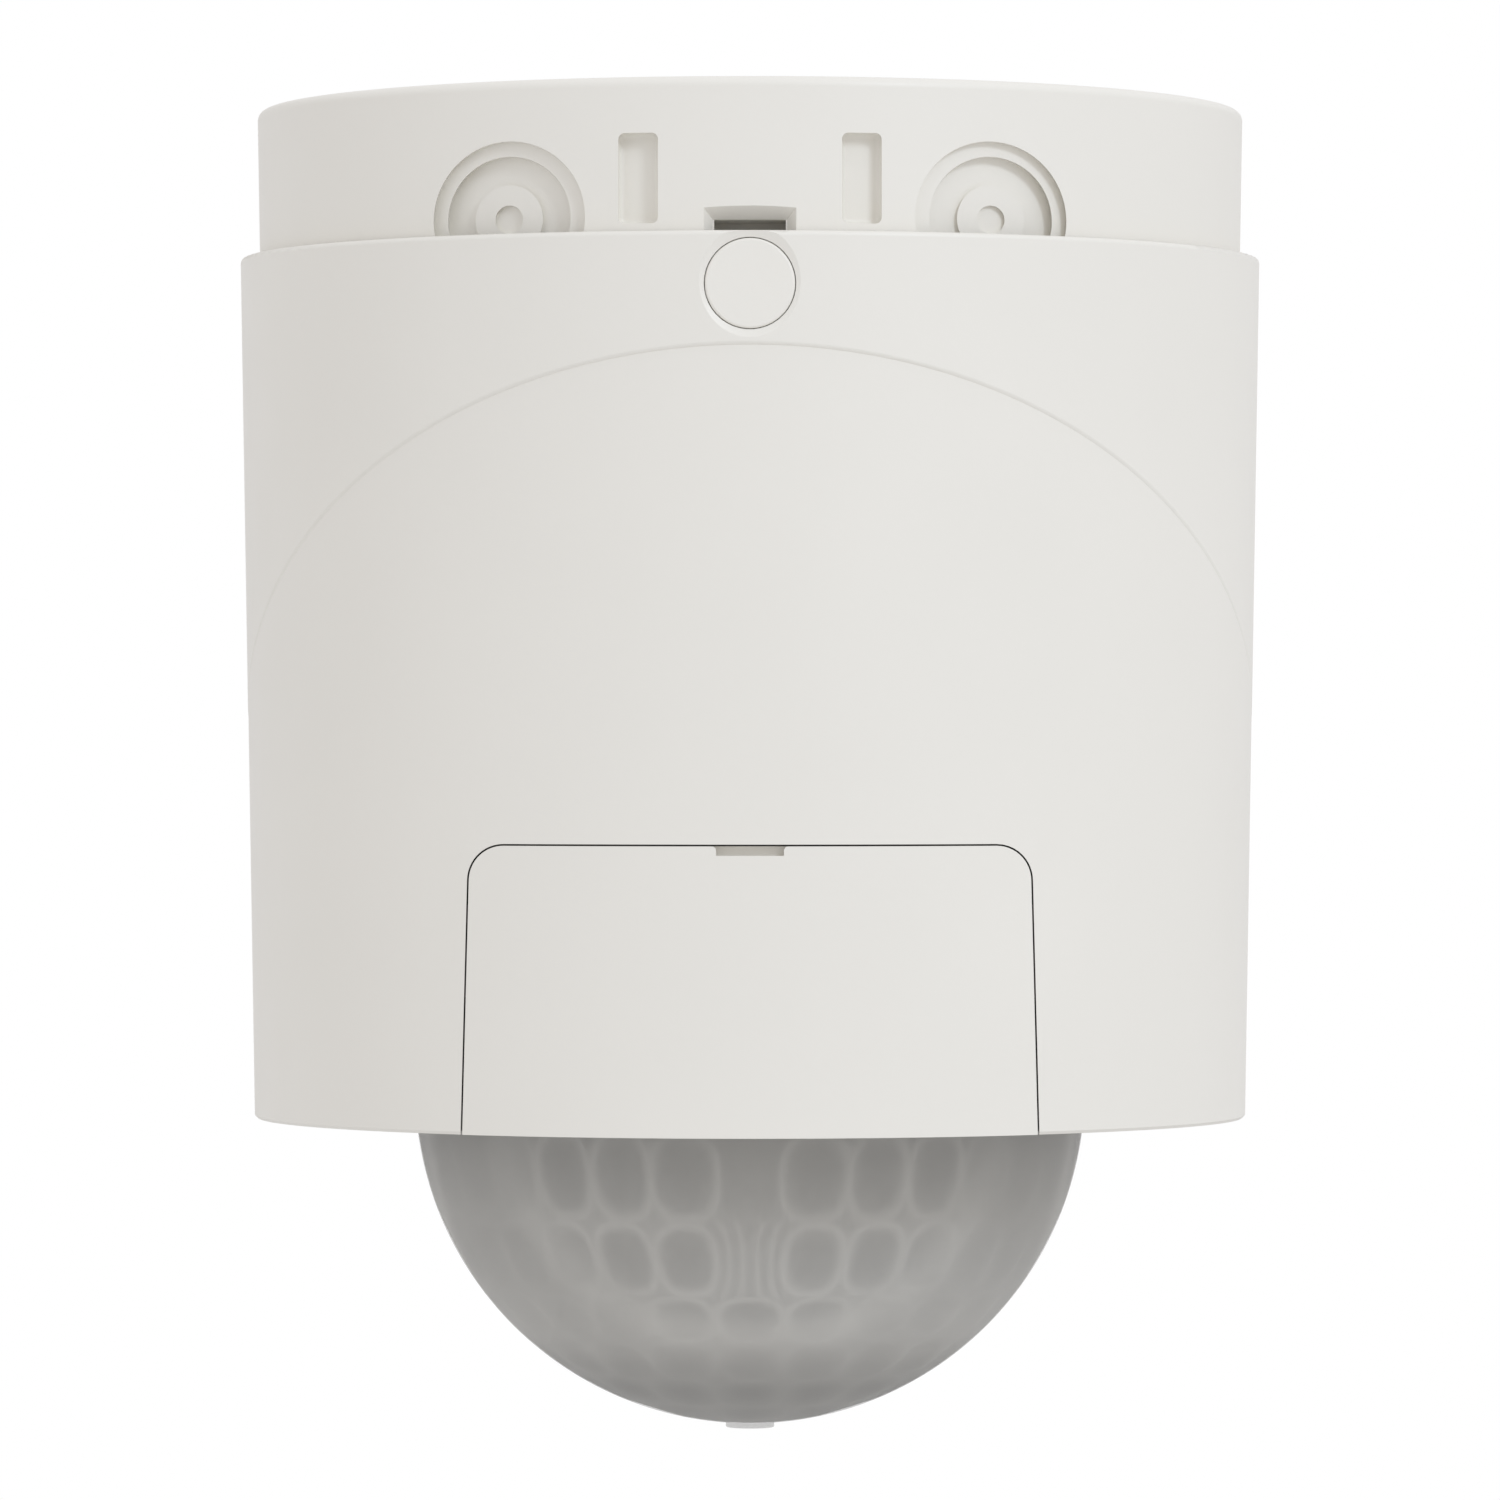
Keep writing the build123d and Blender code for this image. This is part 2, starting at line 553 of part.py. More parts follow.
with BuildPart() as sensor_carrier:
    with BuildSketch(Plane.YZ):
        with BuildLine():
            CenterArc((AXIS_Y, DOME_Z), CORE_RADIUS, 270, 90)
            Polyline(
                (AXIS_Y + CORE_RADIUS, DOME_Z), (AXIS_Y + CORE_RADIUS, SENSOR_BOARD_BOTTOM),
                (AXIS_Y + CORE_RADIUS - 1.6, SENSOR_BOARD_BOTTOM), (AXIS_Y + CORE_RADIUS - 1.6, DOME_Z)
            )
            CenterArc((AXIS_Y, DOME_Z), CORE_RADIUS - 1.6, 270, 90)
            Line((AXIS_Y, DOME_Z - CORE_RADIUS + 1.6), (AXIS_Y, DOME_Z - CORE_RADIUS))
        make_face()
    revolve(axis=Axis((0, AXIS_Y, 0), (0, 0, 1)))
    add(sensor_discs(6.0, 13.5, 8.2))
    add(sensor_discs(4.75, 12, 12), mode=Mode.SUBTRACT)
    with BuildSketch(Plane.XY.offset(DOME_Z - CORE_RADIUS - 1)):
        with Locations((0, AXIS_Y)):
            Circle(2.6)
    extrude(amount=4, mode=Mode.SUBTRACT)
save(sensor_carrier, "sensor_carrier")

save_part(sensor_discs(4.7, 14.5, 5.5), "pyro_sensors")
save_part(sensor_discs(3.9, 20.0, 0.5), "sensor_windows")

with BuildPart() as light_sensor:
    with BuildSketch(Plane.XY.offset(DOME_Z - CORE_RADIUS - 0.4)):
        with Locations((0, AXIS_Y)):
            Circle(2.5)
    extrude(amount=4.6)
    fillet(light_sensor.edges().group_by(Axis.Z)[0], radius=0.8)
save(light_sensor, "light_sensor")

# ---- main board and what it carries --------------------------------------------------------------
with BuildPart() as main_board:
    add(slab((-33.5, 33.5), (BOARD_FRONT, BOARD_BACK), (-40.5, 16.5)))
    fillet(main_board.edges().filter_by(Axis.Y), radius=1.5)
    add(rods(BOARD_POSTS, 1.5, BOARD_BACK + 1, BOARD_FRONT - 1), mode=Mode.SUBTRACT)
save(main_board, "main_board")

with BuildPart() as board_screws:
    add(rods(BOARD_POSTS, 1.2, PLATE_FRONT - 0.8, BOARD_FRONT))
    add(rods(BOARD_POSTS, 2.6, BOARD_FRONT, BOARD_FRONT - 1.6))
    for x, z in BOARD_POSTS:
        driver_slot = slab((x - 3, x + 3), (BOARD_FRONT - 2, BOARD_FRONT - 1.0), (z - 0.35, z + 0.35))
        add(driver_slot, mode=Mode.SUBTRACT)
save(board_screws, "board_screws")

with BuildPart() as relay:
    add(slab((-24, -4), (BOARD_FRONT - 16, BOARD_FRONT), (-8, 14)))
    fillet(relay.edges().filter_by(Axis.Y), radius=0.8)
    fillet(relay.edges().group_by(Axis.Y)[0], radius=0.6)
save(relay, "relay")

with BuildPart() as film_capacitor:
    add(slab((0, 24), (BOARD_FRONT - 15, BOARD_FRONT), (4, 13)))
    fillet(film_capacitor.edges().group_by(Axis.Y)[0], radius=0.6)
save(film_capacitor, "film_capacitor")

ELECTROLYTICS = [(8.0, -6.0), (20.0, -6.0)]
with BuildPart() as electrolytic_capacitors:
    add(rods(ELECTROLYTICS, 5.0, BOARD_FRONT, BOARD_FRONT - 16))
    fillet(electrolytic_capacitors.edges().group_by(Axis.Y)[0], radius=0.7)
save(electrolytic_capacitors, "electrolytic_capacitors")

with BuildPart() as fuse:
    add(rods([(-22, -20)], 4.2, BOARD_FRONT, BOARD_FRONT - 7.5))
    fillet(fuse.edges().group_by(Axis.Y)[0], radius=0.6)
save(fuse, "fuse")

with BuildPart() as varistor:
    with BuildSketch(Plane.XZ.offset(-BOARD_FRONT + 6)):
        with Locations((0, -22)):
            Circle(5.0)
    extrude(amount=3.5)
    fillet(varistor.edges(), radius=1.2)
    for x in (-2.5, 2.5):
        add(slab((x - 0.4, x + 0.4), (BOARD_FRONT - 7.5, BOARD_FRONT), (-24, -23.2)))
save(varistor, "varistor")

with BuildPart() as control_chips:
    add(slab((10, 20), (BOARD_FRONT - 1.8, BOARD_FRONT), (-34, -28)))
    add(slab((-20, -14), (BOARD_FRONT - 1.4, BOARD_FRONT), (-35, -30)))
save(control_chips, "control_chips")

with BuildPart() as contact_pins:
    for x in CONTACTS_X:
        add(slab((x - 0.4, x + 0.4), (BOARD_BACK, -14), (CONTACT_Z - 2.5, CONTACT_Z + 2.5)))
    chamfer(contact_pins.edges().group_by(Axis.Y)[-1].filter_by(Axis.Z), length=0.25)
save(contact_pins, "contact_pins")

with BuildPart() as ribbon_cable:
    with BuildSketch(Plane.YZ.offset(-5)):
        with BuildLine() as route:
            FilletPolyline(
                (BOARD_FRONT, -36), (-46, -36), (-52, -28), (-66, -33), (CONTROL_BACK, -33), radius=4
            )
        trace(route.line, 0.4)
    extrude(amount=10)
save(ribbon_cable, "ribbon_cable")

# ---- control panel behind the flap ---------------------------------------------------------------
with BuildPart() as control_bezel:
    add(slab((-25.5, 25.5), (BEZEL_FRONT, BEZEL_BACK), (-45.5, -22.0)))
    fillet(control_bezel.edges().filter_by(Axis.Y), radius=1.5)
    for side in (-1, 1):
        inner = side * 23.9
        outer = side * 25.5
        add(slab(sorted((inner, outer)), (BEZEL_BACK - 0.2, -76.9), (-43.5, -24.0)))
        add(slab(sorted((outer, side * 33.6)), (-78.5, -76.9), (-38.5, -29.5)))
        add(slab(sorted((side * 20.5, side * 22.5)), (HINGE_Y - 2.2, -82.4), (HINGE_Z, -44.5)))
        with BuildSketch(Plane.YZ.offset(min(side * 20.5, side * 22.5))):
            with Locations((HINGE_Y, HINGE_Z)):
                Circle(2.2)
        extrude(amount=2.0)
    with BuildSketch(Plane.YZ.offset(-24)):
        with Locations((HINGE_Y, HINGE_Z)):
            Circle(PIN_RADIUS + PIN_CLEARANCE)
    extrude(amount=48, mode=Mode.SUBTRACT)
    add(rods([(x, KNOB_Z) for x in KNOBS.values()], 2.0, -80, -90), mode=Mode.SUBTRACT)
    add(rods([BUTTON_SPOT], 2.7, -80, -90), mode=Mode.SUBTRACT)
    add(rods([LED_SPOT], 1.6, -80, -90), mode=Mode.SUBTRACT)
    add(rods(BEZEL_SCREWS, 1.3, -76, -80), mode=Mode.SUBTRACT)
save(control_bezel, "control_bezel")

save_part(screws(BEZEL_SCREWS, 1.0, 2.2, -76.9, 4.9, 1.4), "bezel_screws")

with BuildPart() as control_board:
    add(slab((-23.4, 23.4), (CONTROL_FRONT, CONTROL_BACK), (-43.5, -24.0)))
save(control_board, "control_board")

with BuildPart() as trimmer_bodies:
    for x in KNOBS.values():
        add(slab((x - 4, x + 4), (BEZEL_BACK + 0.1, CONTROL_FRONT), (KNOB_Z - 4, KNOB_Z + 4)))
    add(rods([(x, KNOB_Z) for x in KNOBS.values()], 1.55, -79.6, -83), mode=Mode.SUBTRACT)
save(trimmer_bodies, "trimmer_bodies")

with BuildPart() as button_switch:
    x, z = BUTTON_SPOT
    add(slab((x - 3, x + 3), (-80.4, CONTROL_FRONT), (z - 3, z + 3)))
save(button_switch, "button_switch")

with BuildPart() as status_led:
    add(rods([LED_SPOT], 1.5, CONTROL_FRONT, -85.4))
    fillet(status_led.edges().group_by(Axis.Y)[0], radius=1.2)
    add(rods([LED_SPOT], 1.9, CONTROL_FRONT, -80.2))
save(status_led, "status_led")

for name, x in KNOBS.items():
    with BuildPart() as knob:
        add(rods([(x, KNOB_Z)], 1.5, -79.8, -84.7))
        add(rods([(x, KNOB_Z)], 3.7, -84.4, -87.4))
        chamfer(knob.edges().group_by(Axis.Y)[0], length=0.4)
        add(slab((x - 0.45, x + 0.45), (-88, -86.2), (KNOB_Z - 2.6, KNOB_Z + 3.0)), mode=Mode.SUBTRACT)
        with BuildSketch(face_at(-84.0)):
            with Locations((x, KNOB_Z)):
                with PolarLocations(3.75, 18):
                    Circle(0.32)
        extrude(amount=3.1, mode=Mode.SUBTRACT)
    save(knob, name)

with BuildPart() as test_button:
    add(rods([BUTTON_SPOT], 2.55, -81.2, -86.2))
    fillet(test_button.edges().group_by(Axis.Y)[0], radius=0.5)
    add(rods([BUTTON_SPOT], 3.3, -81.2, -82.2))
save(test_button, "test_button")

# ---- settings flap -------------------------------------------------------------------------------
NOTCH_HALF = 3.24
NOTCH_DEPTH = 0.9

with BuildPart() as settings_flap:
    with Locations((0, CREASE_STEP, 0)):
        add(d_body(CREASE_INSET, HOOD_BOTTOM, FLAP_TOP + 5, AXIS_Y + 2))
    add(d_body(HOOD_WALL, HOOD_BOTTOM - 1, FLAP_TOP + 6, AXIS_Y + 3), mode=Mode.SUBTRACT)
    add(flap_shape(0, HOOD_BOTTOM), mode=Mode.INTERSECT)
    finger_notch = slab((-NOTCH_HALF, NOTCH_HALF), (-98, -93.9), (FLAP_TOP - NOTCH_DEPTH, FLAP_TOP + 1))
    add(finger_notch, mode=Mode.SUBTRACT)
    notch_corners = settings_flap.edges().filter_by(Axis.Y).group_by(Axis.Z)[-1]
    fillet(notch_corners.filter_by_position(Axis.X, -NOTCH_HALF - 0.1, NOTCH_HALF + 0.1), radius=0.4)
    for side in (-1, 1):
        lug = sorted((side * 22.8, side * 24.4))
        add(slab(lug, (-88.2, HINGE_Y), (HINGE_Z - 2.2, HINGE_Z + 2.2)))
        with BuildSketch(Plane.YZ.offset(lug[0])):
            with Locations((HINGE_Y, HINGE_Z)):
                Circle(2.2)
        extrude(amount=1.6)
        with BuildSketch(Plane.YZ.offset(min(side * 20.3, side * 22.9))):
            with Locations((HINGE_Y, HINGE_Z)):
                Circle(PIN_RADIUS)
        extrude(amount=2.6)
save(settings_flap, "settings_flap")

with BuildPart() as flap_seal:
    add(d_body(HOOD_WALL, -45.5, FLAP_TOP + 5, AXIS_Y + 2))
    add(d_body(HOOD_WALL + 0.6, -46, FLAP_TOP + 6, AXIS_Y + 3), mode=Mode.SUBTRACT)
    add(flap_shape(-1.2, HOOD_BOTTOM), mode=Mode.INTERSECT)
    add(flap_shape(-2.4, HOOD_BOTTOM - 1), mode=Mode.SUBTRACT)
save(flap_seal, "flap_seal")
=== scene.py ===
import math

import bmesh
import bpy
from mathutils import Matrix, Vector


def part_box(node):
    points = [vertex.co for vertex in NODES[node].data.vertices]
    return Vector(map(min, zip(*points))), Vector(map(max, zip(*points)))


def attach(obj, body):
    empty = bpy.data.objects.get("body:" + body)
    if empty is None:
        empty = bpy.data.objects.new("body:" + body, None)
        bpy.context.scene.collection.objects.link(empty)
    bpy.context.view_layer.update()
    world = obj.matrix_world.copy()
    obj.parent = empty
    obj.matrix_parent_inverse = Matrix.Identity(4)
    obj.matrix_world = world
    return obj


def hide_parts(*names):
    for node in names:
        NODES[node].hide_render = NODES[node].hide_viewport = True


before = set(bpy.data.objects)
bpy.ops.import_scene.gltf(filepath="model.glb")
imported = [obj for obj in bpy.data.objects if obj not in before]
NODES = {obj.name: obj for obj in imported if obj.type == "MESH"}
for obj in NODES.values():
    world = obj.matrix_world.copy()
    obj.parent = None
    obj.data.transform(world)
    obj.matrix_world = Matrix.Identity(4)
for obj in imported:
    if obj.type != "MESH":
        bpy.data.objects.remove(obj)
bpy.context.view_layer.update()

MM = 0.001

# ---- places worked out from the frame ------------------------------------------------------------
DOME_LOW, DOME_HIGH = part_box("lens_dome")
AXIS = Vector(((DOME_LOW.x + DOME_HIGH.x) / 2, (DOME_LOW.y + DOME_HIGH.y) / 2, 0))
NUB_HEIGHT = 0.45 * MM
DOME_RADIUS = 33.9 * MM
DOME_CENTRE_Z = DOME_LOW.z + NUB_HEIGHT + DOME_RADIUS


# ---- small helpers -------------------------------------------------------------------------------
def new_object(name, mesh):
    piece = bpy.data.objects.new(name, mesh)
    bpy.context.scene.collection.objects.link(piece)
    return piece


def smooth(mesh, angle=35):
    mesh.polygons.foreach_set("use_smooth", [True] * len(mesh.polygons))
    mesh.set_sharp_from_angle(angle=math.radians(angle))
    mesh.update()


def tidy_normals(mesh):
    work = bmesh.new()
    work.from_mesh(mesh)
    bmesh.ops.remove_doubles(work, verts=work.verts, dist=1e-7)
    bmesh.ops.recalc_face_normals(work, faces=work.faces)
    work.to_mesh(mesh)
    work.free()


# ---- materials -----------------------------------------------------------------------------------
# Scales of the noise and cell textures, in repeats per metre.
MOTTLE_SCALE = 38
GLOSS_SCALE = 120
TRACK_SCALE = 190
PAD_SCALE = 260
GLASS_SCALE = 300
MILK_SCALE = 60
MILK_GLOSS_SCALE = 200
MILK_GRAIN_SCALE = 500


def start_material(name):
    made = bpy.data.materials.new(name)
    made.use_nodes = True
    tree = made.node_tree
    return made, tree, tree.nodes["Principled BSDF"]


def link(tree, source, target):
    tree.links.new(source, target)


def noise(tree, scale, detail=3.0, roughness=0.5):
    where = tree.nodes.new("ShaderNodeTexCoord")
    texture = tree.nodes.new("ShaderNodeTexNoise")
    texture.inputs["Scale"].default_value = scale
    texture.inputs["Detail"].default_value = detail
    texture.inputs["Roughness"].default_value = roughness
    link(tree, where.outputs["Object"], texture.inputs["Vector"])
    return texture.outputs["Fac"]


def spread(tree, value, low, high, clip=(0.3, 0.7)):
    """Maps a noise value to a range."""
    node = tree.nodes.new("ShaderNodeMapRange")
    node.inputs["From Min"].default_value = clip[0]
    node.inputs["From Max"].default_value = clip[1]
    node.inputs["To Min"].default_value = low
    node.inputs["To Max"].default_value = high
    link(tree, value, node.inputs["Value"])
    return node.outputs["Result"]


def blend_colours(tree, factor, first, second):
    node = tree.nodes.new("ShaderNodeMix")
    node.data_type = "RGBA"
    node.inputs["A"].default_value = (*first, 1)
    node.inputs["B"].default_value = (*second, 1)
    link(tree, factor, node.inputs["Factor"])
    return node.outputs["Result"]


def bump(tree, height, distance, strength):
    node = tree.nodes.new("ShaderNodeBump")
    node.inputs["Distance"].default_value = distance
    node.inputs["Strength"].default_value = strength
    link(tree, height, node.inputs["Height"])
    return node.outputs["Normal"]


def shade(colour, amount):
    return tuple(max(0.0, min(1.0, c * amount)) for c in colour)


def moulded(name, colour, roughness, mottle=0.02, grain=1500, depth=0.010, specular=0.5, metallic=0.0):
    """Moulded or machined surface: faint large mottling, fine grain in the relief, uneven gloss."""
    made, tree, shader = start_material(name)
    cloud = spread(tree, noise(tree, MOTTLE_SCALE, 2.0), 0, 1)
    link(tree, blend_colours(tree, cloud, shade(colour, 1 - mottle), shade(colour, 1 + mottle)),
         shader.inputs["Base Color"])
    gloss = spread(tree, noise(tree, GLOSS_SCALE, 3.0), roughness - 0.05, roughness + 0.05)
    link(tree, gloss, shader.inputs["Roughness"])
    fine = bump(tree, noise(tree, grain, 4.0), depth * MM, 0.6)
    link(tree, fine, shader.inputs["Normal"])
    shader.inputs["Specular IOR Level"].default_value = specular
    shader.inputs["Metallic"].default_value = metallic
    return made


def brushed(name, colour, roughness, scale=(4000, 300, 4000)):
    """Metal with fine turning or drawing lines."""
    made, tree, shader = start_material(name)
    where = tree.nodes.new("ShaderNodeTexCoord")
    stretch = tree.nodes.new("ShaderNodeMapping")
    stretch.inputs["Scale"].default_value = scale
    lines = tree.nodes.new("ShaderNodeTexNoise")
    lines.inputs["Scale"].default_value = 1.0
    lines.inputs["Detail"].default_value = 3.0
    link(tree, where.outputs["Object"], stretch.inputs["Vector"])
    link(tree, stretch.outputs["Vector"], lines.inputs["Vector"])
    streaks = spread(tree, lines.outputs["Fac"], 0, 1)
    link(tree, blend_colours(tree, streaks, shade(colour, 0.88), shade(colour, 1.08)),
         shader.inputs["Base Color"])
    gloss = spread(tree, lines.outputs["Fac"], roughness - 0.07, roughness + 0.1)
    link(tree, gloss, shader.inputs["Roughness"])
    link(tree, bump(tree, lines.outputs["Fac"], 0.01 * MM, 0.4), shader.inputs["Normal"])
    shader.inputs["Metallic"].default_value = 1.0
    return made


def laminate(name):
    """Circuit board: green resist with copper tracks showing through and tinned pads."""
    made, tree, shader = start_material(name)
    where = tree.nodes.new("ShaderNodeTexCoord")
    cells = tree.nodes.new("ShaderNodeTexVoronoi")
    cells.feature = "DISTANCE_TO_EDGE"
    cells.inputs["Scale"].default_value = TRACK_SCALE
    link(tree, where.outputs["Object"], cells.inputs["Vector"])
    tracks = spread(tree, cells.outputs["Distance"], 1, 0, (0.03, 0.06))
    dots = tree.nodes.new("ShaderNodeTexVoronoi")
    dots.inputs["Scale"].default_value = PAD_SCALE
    link(tree, where.outputs["Object"], dots.inputs["Vector"])
    pads = spread(tree, dots.outputs["Distance"], 1, 0, (0.13, 0.16))
    green = blend_colours(tree, tracks, (0.012, 0.085, 0.035), (0.03, 0.19, 0.07))
    tin = tree.nodes.new("ShaderNodeMix")
    tin.data_type = "RGBA"
    link(tree, pads, tin.inputs["Factor"])
    link(tree, green, tin.inputs["A"])
    tin.inputs["B"].default_value = (0.62, 0.62, 0.6, 1)
    link(tree, tin.outputs["Result"], shader.inputs["Base Color"])
    link(tree, bump(tree, tracks, 0.04 * MM, 0.5), shader.inputs["Normal"])
    shader.inputs["Roughness"].default_value = 0.32
    return made


def coloured_glass(name, colour, roughness, transmission):
    """Tinted clear plastic or filter glass, with slight uneven colour."""
    made, tree, shader = start_material(name)
    cloud = spread(tree, noise(tree, GLASS_SCALE, 2.0), 0, 1)
    link(tree, blend_colours(tree, cloud, shade(colour, 0.92), shade(colour, 1.06)),
         shader.inputs["Base Color"])
    shader.inputs["Roughness"].default_value = roughness
    shader.inputs["Transmission Weight"].default_value = transmission
    return made


OFF_WHITE = (0.86, 0.835, 0.775)
HOUSING = moulded("housing_white", OFF_WHITE, 0.46, mottle=0.008)
HOOD = moulded("hood_white", OFF_WHITE, 0.42, mottle=0.008)
FLAP = moulded("flap_white", OFF_WHITE, 0.42, mottle=0.008)
CAP = moulded("cap_white", shade(OFF_WHITE, 1.015), 0.42, mottle=0.008)
DARK = moulded("inner_dark", (0.045, 0.045, 0.048), 0.55, mottle=0.08, grain=900, depth=0.02)
BEZEL = moulded("bezel_grey", (0.50, 0.49, 0.46), 0.5, mottle=0.02, grain=900, depth=0.02)
KNOB = moulded("knob_black", (0.035, 0.036, 0.038), 0.42, mottle=0.06, grain=1200)
BUTTON = moulded("button_red", (0.52, 0.045, 0.025), 0.3, mottle=0.03)
RUBBER = moulded(
    "seal_rubber", (0.03, 0.03, 0.03), 0.75, mottle=0.12, grain=700, depth=0.03, specular=0.3
)
GROMMET = moulded(
    "grommet_rubber", (0.09, 0.09, 0.09), 0.7, mottle=0.1, grain=700, depth=0.03, specular=0.3
)
TERMINAL = moulded("terminal_plastic", (0.040, 0.040, 0.045), 0.35, mottle=0.05)
STEEL = brushed("zinc_steel", (0.62, 0.62, 0.60), 0.32)
TIN = brushed("tin_plate", (0.70, 0.69, 0.66), 0.25)
BRASS = brushed("machined_brass", (0.72, 0.52, 0.22), 0.28)
BOARD = laminate("board_laminate")
RELAY = moulded("relay_blue", (0.015, 0.03, 0.12), 0.25, mottle=0.05)
YELLOW = moulded("capacitor_yellow", (0.60, 0.42, 0.06), 0.3, mottle=0.04)
SLEEVE = moulded("can_sleeve", (0.02, 0.02, 0.028), 0.3, mottle=0.06)
BROWN = moulded("fuse_brown", (0.09, 0.03, 0.012), 0.3, mottle=0.06)
BLUE = moulded("varistor_blue", (0.02, 0.07, 0.25), 0.35, mottle=0.05)
CHIP = moulded("chip_black", (0.012, 0.012, 0.012), 0.6, mottle=0.08)
RIBBON = moulded("ribbon_grey", (0.36, 0.36, 0.34), 0.5, mottle=0.04)
CAN = brushed("nickel_can", (0.66, 0.65, 0.60), 0.2)
FILTER = coloured_glass("filter_window", (0.03, 0.025, 0.04), 0.12, 0.35)
LED = coloured_glass("led_red", (0.75, 0.06, 0.04), 0.2, 0.6)

NODE_MATERIALS = {
    "rear_housing": HOUSING, "front_cover": HOOD, "settings_flap": FLAP, "screw_cap": CAP,
    "chassis": DARK, "lens_ring": DARK, "sensor_carrier": DARK,
    "control_bezel": BEZEL, "test_button": BUTTON,
    "brightness_knob": KNOB, "time_knob": KNOB, "range_knob": KNOB,
    "wall_gasket": RUBBER, "fixing_hole_seals": RUBBER, "dome_seal": RUBBER, "flap_seal": RUBBER,
    "cable_grommet": GROMMET,
    "terminal_block": TERMINAL, "trimmer_bodies": TERMINAL, "button_switch": TERMINAL,
    "terminal_screws": STEEL, "terminal_block_screws": STEEL, "chassis_screws": STEEL,
    "board_screws": STEEL, "bezel_screws": STEEL, "lens_ring_screws": STEEL, "locking_screw": STEEL,
    "socket_contacts": BRASS, "threaded_insert": BRASS, "contact_pins": TIN,
    "main_board": BOARD, "control_board": BOARD, "sensor_board": BOARD,
    "relay": RELAY, "film_capacitor": YELLOW, "electrolytic_capacitors": SLEEVE,
    "fuse": BROWN, "varistor": BLUE,
    "control_chips": CHIP, "ribbon_cable": RIBBON, "status_led": LED, "light_sensor": LED,
    "pyro_sensors": CAN, "sensor_windows": FILTER,
}
for node, made in NODE_MATERIALS.items():
    NODES[node].data.materials.clear()
    NODES[node].data.materials.append(made)


# ---- camera, lights, floor -----------------------------------------------------------------------
FOCAL = 204.0
SENSOR_WIDTH = 36.0
CAMERA_DISTANCE = 0.906  # from the wall plane
CAMERA_HEIGHT = -0.0144
CLIP_START = 0.01

camera_data = bpy.data.cameras.new("camera")
camera_data.lens = FOCAL
camera_data.sensor_width = SENSOR_WIDTH
camera_data.clip_start = CLIP_START
camera = bpy.data.objects.new("camera", camera_data)
camera.location = (0, -CAMERA_DISTANCE, CAMERA_HEIGHT)
camera.rotation_euler = (math.radians(90), 0, 0)
bpy.context.scene.collection.objects.link(camera)
bpy.context.scene.camera = camera


def area_light(name, place, target, size, power, colour):
    data = bpy.data.lights.new(name, "AREA")
    data.shape = "SQUARE"
    data.size = size
    data.energy = power
    data.color = colour
    lamp = bpy.data.objects.new(name, data)
    lamp.location = place
    lamp.rotation_mode = "QUATERNION"
    lamp.rotation_quaternion = (Vector(place) - Vector(target)).to_track_quat("Z", "Y")
    bpy.context.scene.collection.objects.link(lamp)


MIDDLE = Vector((0, -0.05, -0.01))
KEY_TURN = math.radians(36)  # to the right of the camera
KEY_RISE = math.radians(30)
KEY_DISTANCE = 1.5
KEY_SIZE = 0.32
KEY_POWER = 4.35
KEY_COLOUR = (0.90, 1.0, 1.12)
KEY_PLACE = MIDDLE + KEY_DISTANCE * Vector((
    math.sin(KEY_TURN) * math.cos(KEY_RISE), -math.cos(KEY_TURN) * math.cos(KEY_RISE), math.sin(KEY_RISE)
))
area_light("key", KEY_PLACE, MIDDLE, KEY_SIZE, KEY_POWER, KEY_COLOUR)

WORLD_BELOW = 0.695
WORLD_ABOVE = 0.87
WORLD_COLOUR = (0.995, 0.991, 1.01)


def studio_world():
    """Even studio light, brighter from above; the camera sees plain white behind the object."""
    world = bpy.data.worlds.new("studio")
    bpy.context.scene.world = world
    world.use_nodes = True
    tree = world.node_tree
    light = tree.nodes["Background"]
    where = tree.nodes.new("ShaderNodeTexCoord")
    split = tree.nodes.new("ShaderNodeSeparateXYZ")
    link(tree, where.outputs["Generated"], split.inputs["Vector"])
    strength = spread(tree, split.outputs["Z"], WORLD_BELOW, WORLD_ABOVE, (-0.8, 0.9))
    link(tree, strength, light.inputs["Strength"])
    light.inputs["Color"].default_value = (*WORLD_COLOUR, 1)
    plain = tree.nodes.new("ShaderNodeBackground")
    plain.inputs["Strength"].default_value = 1.0
    plain.inputs["Color"].default_value = (1, 1, 1, 1)
    path = tree.nodes.new("ShaderNodeLightPath")
    pick = tree.nodes.new("ShaderNodeMixShader")
    link(tree, path.outputs["Is Camera Ray"], pick.inputs["Fac"])
    link(tree, light.outputs["Background"], pick.inputs[1])
    link(tree, plain.outputs["Background"], pick.inputs[2])
    link(tree, pick.outputs["Shader"], tree.nodes["World Output"].inputs["Surface"])


studio_world()
bpy.context.scene.view_settings.view_transform = "Standard"

FLOOR_HALF = 8.0
FLOOR_DROP = 1.3  # below the dome
floor_mesh = bpy.data.meshes.new("floor")
floor_z = DOME_LOW.z - FLOOR_DROP
corners = [(x * FLOOR_HALF, y * FLOOR_HALF, floor_z) for x, y in ((-1, -1), (1, -1), (1, 1), (-1, 1))]
floor_mesh.from_pydata(corners, [], [(0, 1, 2, 3)])
floor = new_object("floor", floor_mesh)
pale = moulded("floor_pale", (0.82, 0.82, 0.81), 0.8, mottle=0.01, grain=60, depth=0.05)
floor_mesh.materials.append(pale)


